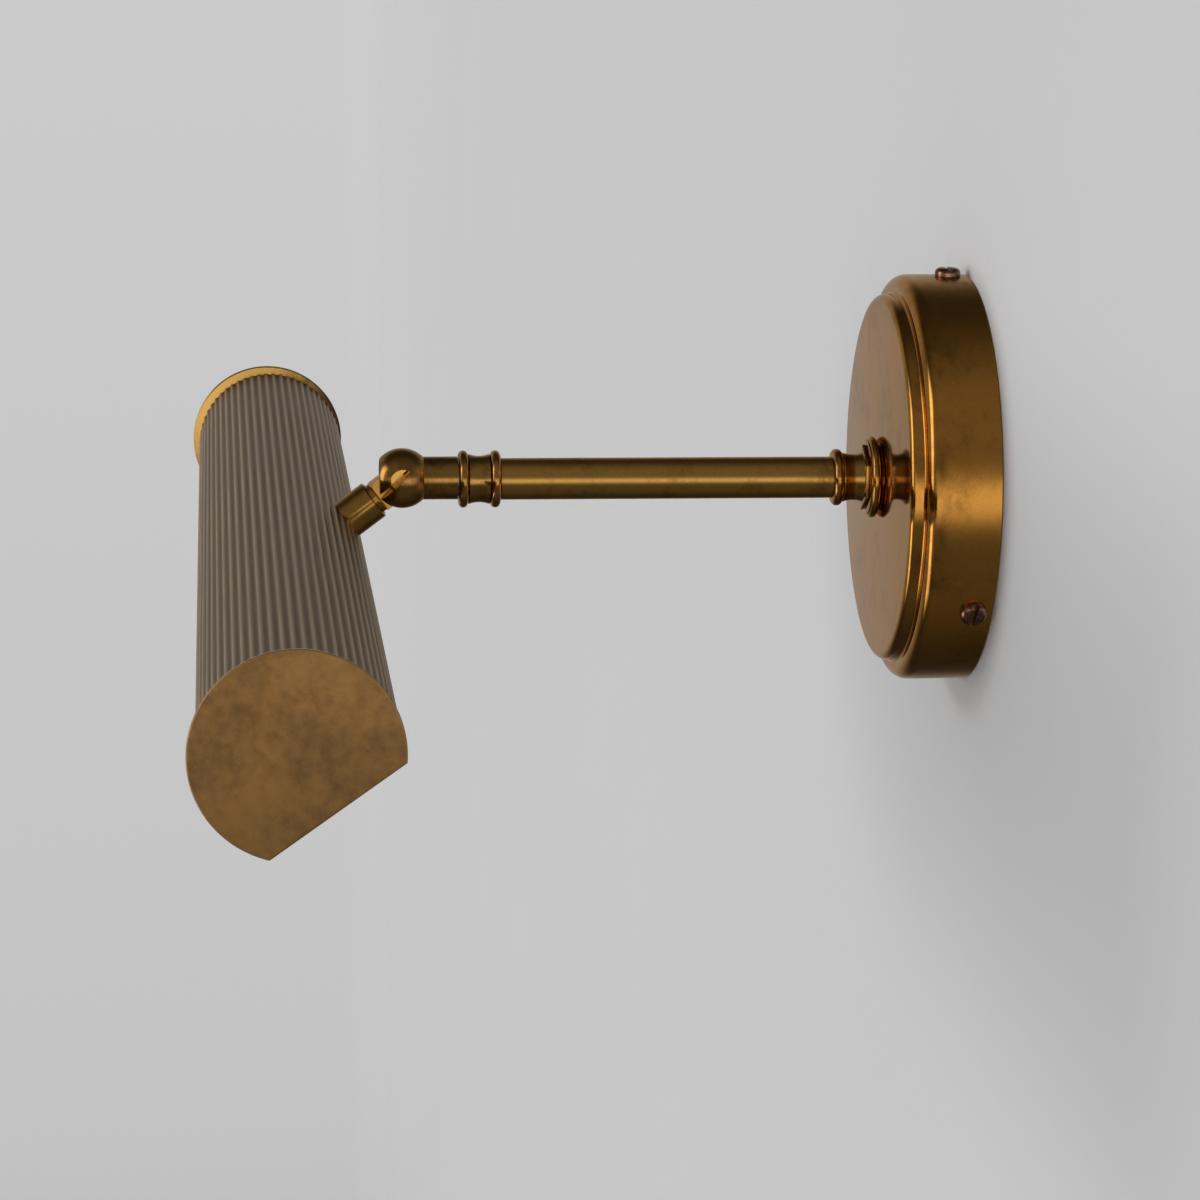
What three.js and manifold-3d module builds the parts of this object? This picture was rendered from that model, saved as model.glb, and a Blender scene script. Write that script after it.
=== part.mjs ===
// Picture light: a round wall rose, a straight brass arm, a ball knuckle and a long fluted shade that
// opens down and back towards the wall. Millimetres, +Z up. The wall is the plane y = 0, the arm
// runs out along -Y, and the shade's length lies along X. The origin is the middle of the wall plate's back.
import * as THREE from "three";
import { mergeVertices } from "three/addons/utils/BufferGeometryUtils.js";
import Module from "manifold-3d";

const wasm = await Module();
wasm.setup();

// ---- Driving dimensions ----
const GAP = 0.3; // room left between pieces that touch on the real object

// Rose
const ROSE_R = 50;
const ROSE_FACE_R = 43.4;
const ROSE_FACE_Y = -21;
const ROSE_FACE_ROUND = 1.8; // rounded edge of the raised face
const ROSE_LEDGE_Y = -17.5;
const ROSE_LEDGE_R = [46.2, 46.7]; // flat ledge between the cove and the shoulder
const ROSE_WALL = 1.2;
const SIDE_SCREW_Y = -4.9;
const SIDE_SCREW_TURNS = [0, 120, 240]; // degrees round from the top
const SIDE_SCREW_HEAD_R = 3.1;
const SIDE_SCREW_R = 1.5;
const SIDE_HOLE_R = 1.85;

// Wall plate
const PLATE_R = 46;
const PLATE_THICK = 1.6;
const LUG_WIDTH = 9;
const LUG_R = [45.9, 47.5];
const LUG_TOP_Y = -9;
const ENTRY_R = 8;
const LUG_THREAD_R = 1.8;
const WALL_SLOT_X = 30;
const WALL_SLOT = [10, 4.6]; // between the centres of its round ends, and its width
const SMALL_HOLE_R = 1.8;
const SMALL_HOLES_AT = [[-14, -12], [14, -12], [-24, -22]]; // x, z
const ENTRY_AT = [0, 25]; // x, z of the supply cable's hole
const GROMMET_BORE_R = 6.2;
const GROMMET_LIP = 1.8;

// Arm and its collars
const ARM_R = 5.1;
const ARM_Y = [-32.9, -114.1];
const BORE_R = 4.3; // clearance bore of every piece that a nipple passes through
const NIPPLE_R = 4;
const NIPPLE_BORE_R = 2.8;
const LEAD_R = 2.1;
const BEAD_R = 7.03;
const WAIST_R = 5.7;
const SEAT_HUB_R = 8.2;
const SEAT_RIM = [9.05, -22.45]; // centre of the seating ring's rounded rim: radius and y
const SEAT_ROUND = 1.03;
const LOCK_NUT_Y = -23.78;
const REAR_COLLAR_Y = [-24.98, -32.6];
const REAR_WAIST_END = -29.7;
const REAR_BEAD_Y = -31.15;
const FRONT_COLLAR_Y = [-114.4, -124.8];
const FRONT_BEADS_Y = [-115.75, -123.6];
const FRONT_WAIST_Y = [-117.2, -122.2];
const ROSE_NIPPLE_Y = [-40, -12];
const FRONT_NIPPLE_Y = [-131, -108];
const ARM_LEAD_Y = [-132.5, -10];

// Knuckle
const BALL_Y = -138.5;
const BALL_R = 7.3;
const BALL_FLAT = 5.45; // centre of the ball to the flat on its front
const NECK_R = 5.17;
const NECK_END_Y = -125.1;
const NIPPLE_SEAT_Y = -131.4; // bottom of the front nipple's bore
const LEAD_BORE_R = 2.6;
const WELL_R = 4.25; // round bottom of the slot, clear of the tongue
const PIVOT_R = 1.3;
const PIVOT_HOLE_R = 1.6;
const PIVOT_SEAT_X = 3.35; // how deep the head's round seat is cut, from the middle
const SLOT_HALF = 2.2;
const TONGUE_HALF = 1.9;
const TONGUE_R = 3.87;
const WINDOW_WIDTH = 3.05; // slanted window in the right cheek, over the pivot screw
const WINDOW_RISE = 0.3; // how far the window's lower wall passes above the pivot
const WINDOW_TILT = 45.5; // degrees down from the arm's line
const PIVOT_HEAD_R = 3.05;

// Stub between the knuckle and the shade, along its own axis from the pivot
const STUB_TILT = 37.4; // degrees down from the arm's line at rest
const SLEEVE_R = 4.95;
const SLEEVE_AT = [8.85, 16.1];
const STEM_AT = 7.3; // where the tongue grows round
const STUB_NIPPLE_END = 26.5;
const SHADE_REACH = 36.9; // pivot to the middle of the shade tube

// Shade
const SHADE_LENGTH = 370;
const SHADE_TILT = 35.7; // degrees that the opening's plane is turned from level
const TUBE_R = 20.5;
const TUBE_WALL = 1;
const FLUTE_DEPTH = 0.45;
const FLUTE_PITCH = 6; // degrees
const FLUTES = 43;
const CHORD = 12.7; // middle of the tube to the plane of its opening
const CAP_R = 21.6;
const CAP_RISE = 1.1; // the end caps' circle is centred this far behind the tube's
const CAP_THICK = 1.2;
const SKIRT_DEPTH = 3;
const SKIRT_THICK = 0.9;
const SKIRT_SHORT = 4; // degrees left free at each end of the skirt

// Lamps and their bracket, inside the shade
const LAMP_RISE = 2.5; // lamp axis to the middle of the tube, away from the opening
const SADDLE_R = 6.5;
const EAR_LENGTH = 24;
const HOLDER_NUT_AF = 12;
const NUT_AF = 14;
const NUT_HEIGHT = 3;
const EAR_X = 17;
const STRAP_THICK = 1.2;
const STRAP_HALF = 7;
const HOLDER_R = 12;
const HOLDER_LENGTH = 26;
const LAMP_R = 12.3;
const LAMP_LENGTH = 88;
const LAMP_CAP_R = 6.9;

const radians = THREE.MathUtils.degToRad;

// ---- Materials ----
const finish = (color, roughness, metalness) => () =>
  new THREE.MeshStandardMaterial({ color, roughness, metalness });
const agedBrass = finish(0x8a6428, 0.35, 1);
const brightBrass = finish(0xb08a3e, 0.3, 1);
const darkBronze = finish(0x54382a, 0.35, 1);
const greyBronze = finish(0x7d7367, 0.5, 0.9);
const zincSteel = finish(0xb9bcc0, 0.4, 0.9);
const blackPlastic = finish(0x1d1d1f, 0.55, 0);
const whitePlastic = finish(0xe7e5df, 0.5, 0);
const porcelain = finish(0xefece4, 0.3, 0);
const opalGlass = finish(0xf4f2ec, 0.2, 0);
const leadSheath = finish(0xd9d6cf, 0.6, 0);

// ---- Solids ----
function toSolid(geometry) {
  const bare = new THREE.BufferGeometry();
  const plain = geometry.index ? geometry.toNonIndexed() : geometry;
  bare.setAttribute("position", plain.getAttribute("position"));
  const merged = mergeVertices(bare, 1e-4);
  const mesh = new wasm.Mesh({
    numProp: 3,
    vertProperties: merged.attributes.position.array,
    triVerts: new Uint32Array(merged.index.array),
  });
  return new wasm.Manifold(mesh);
}

function toGeometry(solid) {
  const mesh = solid.getMesh();
  const geometry = new THREE.BufferGeometry();
  geometry.setAttribute("position", new THREE.BufferAttribute(mesh.vertProperties, 3));
  geometry.setIndex(new THREE.BufferAttribute(mesh.triVerts, 1));
  return geometry;
}

const cut = (geometry, ...tools) =>
  toGeometry(tools.reduce((solid, tool) => solid.subtract(toSolid(tool)), toSolid(geometry)));
const join = (geometry, ...others) =>
  toGeometry(others.reduce((solid, other) => solid.add(toSolid(other)), toSolid(geometry)));

// An outline of [radius, height] turned about Y. It starts and ends on the axis, or is closed here.
function turned(outline, segments = 24) {
  const points = outline.map(([r, y]) => new THREE.Vector2(r, y));
  const onAxis = points[0].x === 0 && points.at(-1).x === 0;
  if (!onAxis) points.push(points[0].clone());
  if (THREE.ShapeUtils.area(points) < 0) points.reverse();
  return new THREE.LatheGeometry(points, segments);
}

// A ring or a tube about Y, between two radii and two heights.
const ring = (inner, outer, low, high, segments = 24) =>
  turned([[inner, low], [outer, low], [outer, high], [inner, high]], segments);
// A round bar about Y.
const bar = (r, low, high, segments = 24) =>
  turned([[0, low], [r, low], [r, high], [0, high]], segments);
// Points of an arc in [radius, height], both ends included.
function arc(centreR, centreY, radius, from, to, steps) {
  return Array.from({ length: steps + 1 }, (_, i) => {
    const a = radians(from + ((to - from) * i) / steps);
    return [centreR + radius * Math.cos(a), centreY + radius * Math.sin(a)];
  });
}

function box(width, depth, height, x, y, z) {
  return new THREE.BoxGeometry(width, depth, height).translate(x, y, z);
}

// A flat outline drawn in the plane across X, thickened from x = low to x = high.
function acrossX(points, low, high) {
  const shape = new THREE.Shape(points.map(([y, z]) => new THREE.Vector2(y, z)));
  const flat = new THREE.ExtrudeGeometry(shape, { depth: high - low, bevelEnabled: false });
  return flat.rotateX(Math.PI / 2).rotateZ(Math.PI / 2).translate(low, 0, 0);
}

// A hexagon nut about Y, with a corner up, a round hole and its height along -Y from top.
function hexNut(acrossFlats, hole, top, height) {
  const corner = acrossFlats / Math.sqrt(3);
  const outline = turned([[0, top - height], [corner, top - height], [corner, top], [0, top]], 6);
  return cut(outline, bar(hole, top - height - 1, top + 1, 24));
}

// A slotted screw about Y: the head's underside is at y = 0, the head stands up, the shank goes down.
function slottedScrew(headR, headHeight, shankR, shankLength, slotWidth, slotDepth, slotTurn = 0) {
  const dome = arc(0, 0, 1, 0, 90, 3).map(([c, s]) => [
    headR * (0.72 + 0.28 * c) * (s === 1 ? 0 : 1),
    headHeight * (0.45 + 0.55 * s),
  ]);
  dome.splice(-1, 1, [headR * 0.72, headHeight], [0, headHeight]);
  const outline = [[0, -shankLength], [shankR, -shankLength], [shankR, 0], [headR, 0], ...dome];
  const groove = box(headR * 3, slotDepth * 2, slotWidth, 0, headHeight, 0).rotateY(radians(slotTurn));
  return cut(turned(outline, headR > 2 ? 20 : 12), groove);
}

// ---- Assembly ----
const pictureLight = new THREE.Group();
const stub = new THREE.Group(); // along the stub: local -Y runs from the pivot to the shade
stub.position.set(0, BALL_Y, 0);
stub.rotation.x = radians(STUB_TILT);
pictureLight.add(stub);
const shade = new THREE.Group(); // about the shade tube's own middle: the opening faces local -Z
shade.position.set(0, -SHADE_REACH, 0);
shade.rotation.x = radians(SHADE_TILT - STUB_TILT);
stub.add(shade);

function place(parent, name, geometry, material) {
  const mesh = new THREE.Mesh(geometry, material());
  mesh.name = name;
  parent.add(mesh);
  return mesh;
}

// ---- Rose: wall plate, cover and side screws ----
// Turns a piece made about Y, pointing up, so that it points out of the rose's side at a turn from the top.
const outOfSide = (geometry, turn) =>
  geometry.rotateX(Math.PI / 2).translate(0, 0, ROSE_R).rotateY(radians(turn));

function wallPlate() {
  let plate = bar(PLATE_R, -PLATE_THICK, 0, 36);
  for (const turn of SIDE_SCREW_TURNS) {
    const height = -LUG_TOP_Y;
    const lugThick = LUG_R[1] - LUG_R[0];
    const lug = box(LUG_WIDTH, height, lugThick, 0, -height / 2, LUG_R[0] + lugThick / 2);
    const foot = box(LUG_WIDTH, PLATE_THICK, 6, 0, -PLATE_THICK / 2, LUG_R[1] - 3);
    plate = join(plate, lug.rotateY(radians(turn)), foot.rotateY(radians(turn)));
    const thread = bar(LUG_THREAD_R, -8, 2, 10);
    plate = cut(plate, outOfSide(thread, turn).translate(0, SIDE_SCREW_Y, 0));
  }
  const slots = [-1, 1].map((side) => {
    const [length, width] = WALL_SLOT;
    const middle = box(length, 6, width, side * WALL_SLOT_X, -1, 0);
    const ends = [-length / 2, length / 2].map((x) =>
      bar(width / 2, -4, 2, 12).translate(side * WALL_SLOT_X + x, 0, 0),
    );
    return join(middle, ...ends);
  });
  const entry = bar(ENTRY_R, -4, 2, 32).translate(ENTRY_AT[0], 0, ENTRY_AT[1]);
  const small = SMALL_HOLES_AT.map(([x, z]) => bar(SMALL_HOLE_R, -4, 2, 10).translate(x, 0, z));
  return cut(plate, ...slots, entry, ...small);
}

function roseCover() {
  const sideR = ROSE_FACE_R + ROSE_FACE_ROUND;
  const shoulder = ROSE_R - ROSE_LEDGE_R[1];
  const cove = ROSE_LEDGE_R[0] - sideR;
  const outside = [
    [ROSE_R, -GAP],
    ...arc(ROSE_LEDGE_R[1], ROSE_LEDGE_Y + shoulder, shoulder, 0, -90, 4),
    ...arc(ROSE_LEDGE_R[0], ROSE_LEDGE_Y - cove, cove, 90, 180, 2),
    ...arc(ROSE_FACE_R, ROSE_FACE_Y + ROSE_FACE_ROUND, ROSE_FACE_ROUND, 0, -90, 3),
    [BORE_R, ROSE_FACE_Y],
  ];
  const inside = [
    [BORE_R, ROSE_FACE_Y + ROSE_WALL],
    [sideR - ROSE_WALL, ROSE_FACE_Y + ROSE_WALL],
    [sideR - ROSE_WALL, ROSE_LEDGE_Y + ROSE_WALL],
    [ROSE_R - ROSE_WALL, ROSE_LEDGE_Y + ROSE_WALL + 1],
    [ROSE_R - ROSE_WALL, -GAP],
  ];
  const holes = SIDE_SCREW_TURNS.map((turn) =>
    outOfSide(bar(SIDE_HOLE_R, -3, 3, 12), turn).translate(0, SIDE_SCREW_Y, 0),
  );
  return cut(turned([...outside, ...inside], 48), ...holes);
}

place(pictureLight, "wall_plate", wallPlate(), zincSteel);
place(pictureLight, "rose_cover", roseCover(), agedBrass);
SIDE_SCREW_TURNS.forEach((turn, i) => {
  const screw = slottedScrew(SIDE_SCREW_HEAD_R, 2, SIDE_SCREW_R, 5.5, 0.9, 0.9, 35).translate(0, GAP, 0);
  place(
    pictureLight,
    `cover_screw_${i + 1}`,
    outOfSide(screw, turn).translate(0, SIDE_SCREW_Y, 0),
    darkBronze,
  );
});

// ---- Wiring inside the rose ----
function entryGrommet() {
  const outer = ENTRY_R + GROMMET_LIP;
  const neck = ENTRY_R - GAP;
  return turned([
    [GROMMET_BORE_R, -GAP],
    [neck, -GAP],
    [neck, -PLATE_THICK - GAP],
    [outer, -PLATE_THICK - GAP],
    [outer - 0.5, -PLATE_THICK - 1.6],
    [GROMMET_BORE_R, -PLATE_THICK - 1.6],
  ]);
}
place(
  pictureLight,
  "entry_grommet",
  entryGrommet().translate(ENTRY_AT[0], 0, ENTRY_AT[1]),
  blackPlastic,
);

const BLOCK_Z = -17;
const BLOCK_TOP_Y = -13;
const POLE_X = [-8, 0, 8];
function terminalBlock() {
  const base = box(26, 4, 15, 0, -PLATE_THICK - GAP - 2, BLOCK_Z);
  const towers = POLE_X.map((x) =>
    box(7, -BLOCK_TOP_Y - 4, 11, x, (BLOCK_TOP_Y - PLATE_THICK - 3) / 2, BLOCK_Z),
  );
  const screwHoles = POLE_X.map((x) => bar(2.1, BLOCK_TOP_Y - 2, -8, 8).translate(x, 0, BLOCK_Z));
  const wireHoles = POLE_X.map((x) => {
    const hole = bar(1.6, -12, 12, 8);
    return hole.rotateX(Math.PI / 2).translate(x, -7, BLOCK_Z);
  });
  return cut(join(base, ...towers), ...screwHoles, ...wireHoles);
}
place(pictureLight, "terminal_block", terminalBlock(), whitePlastic);
POLE_X.forEach((x, i) => {
  const screw = slottedScrew(1.75, 1.2, 1.2, 1, 0.5, 0.5, 20 * i).rotateX(Math.PI);
  place(
    pictureLight,
    `terminal_screw_${i + 1}`,
    screw.translate(x, -10.6, BLOCK_Z),
    zincSteel,
  );
});

const EARTH_AT = [-24, -22];
const earthTag = join(
  cut(bar(4, -PLATE_THICK - GAP - 0.8, -PLATE_THICK - GAP), bar(1.85, -4, 0, 16)),
  box(8, 0.8, 3, 6.5, -PLATE_THICK - GAP - 0.4, 0),
);
place(
  pictureLight,
  "earth_tag",
  earthTag.rotateY(radians(-20)).translate(EARTH_AT[0], 0, EARTH_AT[1]),
  brightBrass,
);
const earthScrew = slottedScrew(3, 1.8, 1.5, 2.6, 0.8, 0.8, 60).rotateX(Math.PI);
place(
  pictureLight,
  "earth_screw",
  earthScrew.translate(EARTH_AT[0], -PLATE_THICK - 2 * GAP - 0.8, EARTH_AT[1]),
  brightBrass,
);

// A flexible lead along a smooth line through points.
function lead(radius, points) {
  const path = new THREE.CatmullRomCurve3(points.map((p) => new THREE.Vector3(...p)));
  const section = new THREE.Shape().absarc(0, 0, radius, 0, 2 * Math.PI);
  const settings = { steps: 11, extrudePath: path, bevelEnabled: false, curveSegments: 3 };
  return new THREE.ExtrudeGeometry(section, settings);
}
for (const [word, side] of [["right", 1], ["left", -1]]) {
  const run = [
    [side * 8, -7, -20],
    [side * 8, -7, -9],
    [side * 6.5, -6.4, -3.6],
    [side * 2.4, -5.6, -0.4],
    [side * 1.1, -7.5, 0],
    [side * 1.1, -9.7, 0],
  ];
  place(pictureLight, `rose_lead_${word}`, lead(0.9, run), leadSheath);
}

// ---- Arm: nipples, nuts, collars and tube ----
const nipple = (low, high) => ring(NIPPLE_BORE_R, NIPPLE_R, low, high, 24);
place(pictureLight, "rose_nipple", nipple(...ROSE_NIPPLE_Y), zincSteel);
const faceInside = ROSE_FACE_Y + ROSE_WALL;
place(pictureLight, "rose_washer", ring(BORE_R, 8.5, faceInside + GAP, faceInside + 1.5), zincSteel);
place(pictureLight, "rose_nut", hexNut(NUT_AF, BORE_R, faceInside + 4.8, NUT_HEIGHT), brightBrass);

// The seating ring under the arm, with a rounded rim.
const seatRing = turned([
  [BORE_R, ROSE_FACE_Y - GAP],
  [SEAT_HUB_R, ROSE_FACE_Y - GAP],
  ...arc(...SEAT_RIM, SEAT_ROUND, 70, -90, 6),
  [BORE_R, SEAT_RIM[1] - SEAT_ROUND],
]);
place(pictureLight, "seat_ring", seatRing, agedBrass);
place(pictureLight, "lock_nut", hexNut(14.2, BORE_R, LOCK_NUT_Y, 0.9), agedBrass);

// A bead of half-round section at the end of a collar.
const bead = (y, half) => arc(BEAD_R - half, y, half, 90, -90, 4);
// The hollow waist between two heights, in [radius, height], dipping to WAIST_R in the middle.
function waist(high, low, rim) {
  return Array.from({ length: 5 }, (_, i) => {
    const t = i / 4;
    return [WAIST_R + (rim - WAIST_R) * (2 * t - 1) ** 2, high + (low - high) * t];
  });
}
const rearCollar = turned([
  [BORE_R, REAR_COLLAR_Y[0]],
  ...waist(REAR_COLLAR_Y[0], REAR_WAIST_END, 6.1),
  ...bead(REAR_BEAD_Y, 1.25),
  [ARM_R + 0.4, REAR_COLLAR_Y[1]],
  [BORE_R, REAR_COLLAR_Y[1]],
]);
place(pictureLight, "rear_collar", rearCollar, agedBrass);
place(pictureLight, "arm_tube", ring(BORE_R, ARM_R, ARM_Y[1], ARM_Y[0]), agedBrass);
const frontCollar = turned([
  [BORE_R, FRONT_COLLAR_Y[0]],
  [ARM_R + 0.6, FRONT_COLLAR_Y[0]],
  ...bead(FRONT_BEADS_Y[0], 1.2),
  ...waist(...FRONT_WAIST_Y, 6.15),
  ...bead(FRONT_BEADS_Y[1], 1.15),
  [BORE_R, FRONT_COLLAR_Y[1]],
]);
place(pictureLight, "front_collar", frontCollar, agedBrass);
place(pictureLight, "front_nipple", nipple(...FRONT_NIPPLE_Y), zincSteel);
place(pictureLight, "arm_lead", bar(LEAD_R, ...ARM_LEAD_Y, 12), leadSheath);

// ---- Knuckle: slotted ball, pivot screw, tongue ----
// A box of this length and width that starts at the pivot and runs out at a tilt below the arm's line.
function slanted(length, width, low, high, behind, shift, tilt) {
  const bound = [
    [behind, shift],
    [-length, shift],
    [-length, shift + width],
    [behind, shift + width],
  ];
  return acrossX(bound, low, high).rotateX(radians(tilt));
}

function knuckleBall() {
  const neckEnd = NECK_END_Y - BALL_Y;
  const hidden = Math.sqrt(BALL_R ** 2 - NECK_R ** 2);
  const profile = [
    ...arc(0, 0, BALL_R, -90, THREE.MathUtils.radToDeg(Math.atan2(hidden, NECK_R)), 12),
    [NECK_R, neckEnd],
    [0, neckEnd],
  ];
  profile[0] = [0, -BALL_R];
  const slot = acrossX(
    [[0, WELL_R], [-12, WELL_R], [-12, -12], [WELL_R, -12], [WELL_R, 0]],
    -SLOT_HALF,
    SLOT_HALF,
  );
  const well = bar(WELL_R, -SLOT_HALF, SLOT_HALF).rotateZ(-Math.PI / 2);
  const seat = bar(PIVOT_HEAD_R + 0.35, 0, PIVOT_SEAT_X).rotateZ(-Math.PI / 2);
  const window = slanted(14, WINDOW_WIDTH, 1, 10, 1, WINDOW_RISE, WINDOW_TILT);
  const windowEnd = bar(WINDOW_WIDTH / 2, 1, 10, 20)
    .rotateZ(-Math.PI / 2)
    .translate(0, 1, WINDOW_WIDTH / 2 + WINDOW_RISE)
    .rotateX(radians(WINDOW_TILT));
  return cut(
    turned(profile, 28),
    bar(20, -20, -BALL_FLAT),
    bar(BORE_R, NIPPLE_SEAT_Y - BALL_Y, 20),
    bar(LEAD_BORE_R, 0, 20, 20),
    join(slot, well),
    seat,
    join(window, windowEnd),
    bar(PIVOT_HOLE_R, -20, 0, 16).rotateZ(-Math.PI / 2),
  );
}
place(pictureLight, "knuckle_ball", knuckleBall().translate(0, BALL_Y, 0), agedBrass);

const pivotScrew = slottedScrew(PIVOT_HEAD_R, 0.95, PIVOT_R, 8.2, 0.45, 0.45, 52)
  .rotateZ(-Math.PI / 2)
  .translate(2.1, BALL_Y, 0);
place(pictureLight, "pivot_screw", pivotScrew, brightBrass);

function knuckleTongue() {
  const blade = acrossX(
    [
      ...arc(0, 0, TONGUE_R, 90, -90, 10).map(([y, z]) => [y, z]),
      [-STEM_AT - 0.05, -TONGUE_R],
      [-STEM_AT - 0.05, TONGUE_R],
    ],
    -TONGUE_HALF,
    TONGUE_HALF,
  );
  const collar = bar(TONGUE_R, -SLEEVE_AT[0] + GAP, -STEM_AT);
  return cut(join(blade, collar), bar(PIVOT_HOLE_R, -10, 10, 16).rotateZ(-Math.PI / 2));
}
place(stub, "knuckle_tongue", knuckleTongue(), agedBrass);
place(stub, "stub_sleeve", ring(BORE_R, SLEEVE_R, -SLEEVE_AT[1], -SLEEVE_AT[0]), agedBrass);
place(stub, "shade_nipple", nipple(-STUB_NIPPLE_END, -SLEEVE_AT[0]), zincSteel);

// ---- Shade: fluted tube and end caps ----
const firstTurn = -90 + (360 - FLUTES * FLUTE_PITCH) / 2; // degrees from local +Y, clear of the opening

function shadeTube() {
  const outer = [];
  const ridge = [[0, TUBE_R], [0.18, TUBE_R], [0.36, TUBE_R - FLUTE_DEPTH], [0.82, TUBE_R - FLUTE_DEPTH]];
  for (let i = 0; i < FLUTES; i++)
    for (const [share, r] of ridge) outer.push([r, firstTurn + (i + share) * FLUTE_PITCH]);
  outer.push([TUBE_R, firstTurn + FLUTES * FLUTE_PITCH]);
  const inner = TUBE_R - FLUTE_DEPTH - TUBE_WALL;
  for (let i = FLUTES; i >= 0; i--) outer.push([inner, firstTurn + i * FLUTE_PITCH]);
  const outline = outer.map(([r, turn]) => [r * Math.cos(radians(turn)), r * Math.sin(radians(turn))]);
  const half = SHADE_LENGTH / 2 - CAP_THICK - GAP;
  const hole = bar(BORE_R + 0.1, 0, 30, 24).rotateX(radians(STUB_TILT - SHADE_TILT));
  return cut(acrossX(outline, -half, half), hole);
}

function endCap() {
  const edge = Math.acos((CHORD + CAP_RISE) / CAP_R);
  const start = -Math.PI / 2 + edge;
  const sweep = 2 * Math.PI - 2 * edge;
  const rim = Array.from({ length: 41 }, (_, i) => {
    const a = start + (sweep * i) / 40;
    return [CAP_R * Math.cos(a), CAP_RISE + CAP_R * Math.sin(a)];
  });
  const skirtR = TUBE_R - FLUTE_DEPTH - TUBE_WALL - GAP;
  const skirtSweep = FLUTES * FLUTE_PITCH - 2 * SKIRT_SHORT;
  const skirt = [];
  for (let i = 0; i <= 20; i++) skirt.push([skirtR, firstTurn + SKIRT_SHORT + (i / 20) * skirtSweep]);
  const back = skirt.map(([r, turn]) => [r - SKIRT_THICK, turn]).reverse();
  const skirtOutline = [...skirt, ...back].map(([r, turn]) => [
    r * Math.cos(radians(turn)),
    r * Math.sin(radians(turn)),
  ]);
  const outsideX = SHADE_LENGTH / 2;
  const plate = acrossX(rim, outsideX - CAP_THICK, outsideX);
  const inner = acrossX(skirtOutline, outsideX - CAP_THICK - SKIRT_DEPTH, outsideX - CAP_THICK / 2);
  return join(plate, inner);
}

// The left cap is the right one mirrored across the middle of the shade.
function mirroredAcrossX(geometry) {
  const flipped = geometry.clone().scale(-1, 1, 1);
  const order = flipped.index.array;
  for (let i = 0; i < order.length; i += 3) [order[i], order[i + 1]] = [order[i + 1], order[i]];
  return flipped;
}
place(shade, "shade_tube", shadeTube(), greyBronze);
place(shade, "end_cap_right", endCap(), agedBrass);
place(shade, "end_cap_left", mirroredAcrossX(endCap()), agedBrass);

// ---- Inside the shade: saddle, bracket, nut, holders, lamps and leads ----
const STRAP_Y = -19.7; // the strap's face nearest the stub, along the stub
const tubeInside = TUBE_R - FLUTE_DEPTH - TUBE_WALL;
const saddle = ring(BORE_R, SADDLE_R, STRAP_Y + GAP, -SHADE_REACH + tubeInside - 1.2, 24);
place(stub, "shade_saddle", saddle, zincSteel);

function lampBracket() {
  const web = box(2 * EAR_X, STRAP_THICK, 2 * STRAP_HALF, 0, STRAP_Y - STRAP_THICK / 2, 0);
  const ears = [-1, 1].map((side) => {
    const ear = box(STRAP_THICK, EAR_LENGTH, 2 * STRAP_HALF, 0, STRAP_Y - EAR_LENGTH / 2, 0);
    return ear.translate(side * (EAR_X - STRAP_THICK / 2), 0, 0);
  });
  const seats = [-1, 1].map((side) =>
    bar(BORE_R, EAR_X - 6, EAR_X + 4, 24)
      .rotateZ((-side * Math.PI) / 2)
      .translate(0, -SHADE_REACH, LAMP_RISE),
  );
  return cut(join(web, ...ears), bar(BORE_R, -30, -10, 24), ...seats);
}
place(stub, "lamp_bracket", lampBracket(), zincSteel);
place(stub, "shade_nut", hexNut(NUT_AF, BORE_R, STRAP_Y - STRAP_THICK - GAP, NUT_HEIGHT), brightBrass);

// A lampholder about Y that stands up from y = 0, with a hollow stud below it for its nut.
function lampholder() {
  return turned([
    [2.6, -6],
    [NIPPLE_R, -6],
    [NIPPLE_R, 0],
    [HOLDER_R - 1.5, 0],
    [HOLDER_R, 1.5],
    [HOLDER_R, 9],
    [HOLDER_R - 1.2, 10],
    [HOLDER_R - 1.2, HOLDER_LENGTH - 2],
    [HOLDER_R - 2, HOLDER_LENGTH],
    [LAMP_CAP_R + 0.5, HOLDER_LENGTH],
    [LAMP_CAP_R + 0.5, 5],
    [2.6, 5],
  ], 18);
}
function lampCap() {
  return turned([
    [0, 6],
    [2.3, 6],
    [3, 8],
    [LAMP_CAP_R - 0.4, 9.5],
    [LAMP_CAP_R, 11],
    [LAMP_CAP_R, HOLDER_LENGTH + 1.5],
    [0, HOLDER_LENGTH + 1.5],
  ], 18);
}
function lampGlass() {
  const foot = HOLDER_LENGTH + 1.5 + GAP;
  const top = foot + LAMP_LENGTH;
  const wall = 0.9;
  const skin = (inset) => [
    [6.6 - inset, foot],
    [6.9 - inset, foot + 4],
    ...arc(LAMP_R - 5.5, foot + 15, 5.5 - inset, -40, 0, 2),
    ...arc(0, top - LAMP_R, LAMP_R - inset, 0, 80, 5),
  ];
  return turned([...skin(0), [0, top], [0, top - wall], ...skin(wall).reverse()], 18);
}
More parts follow.
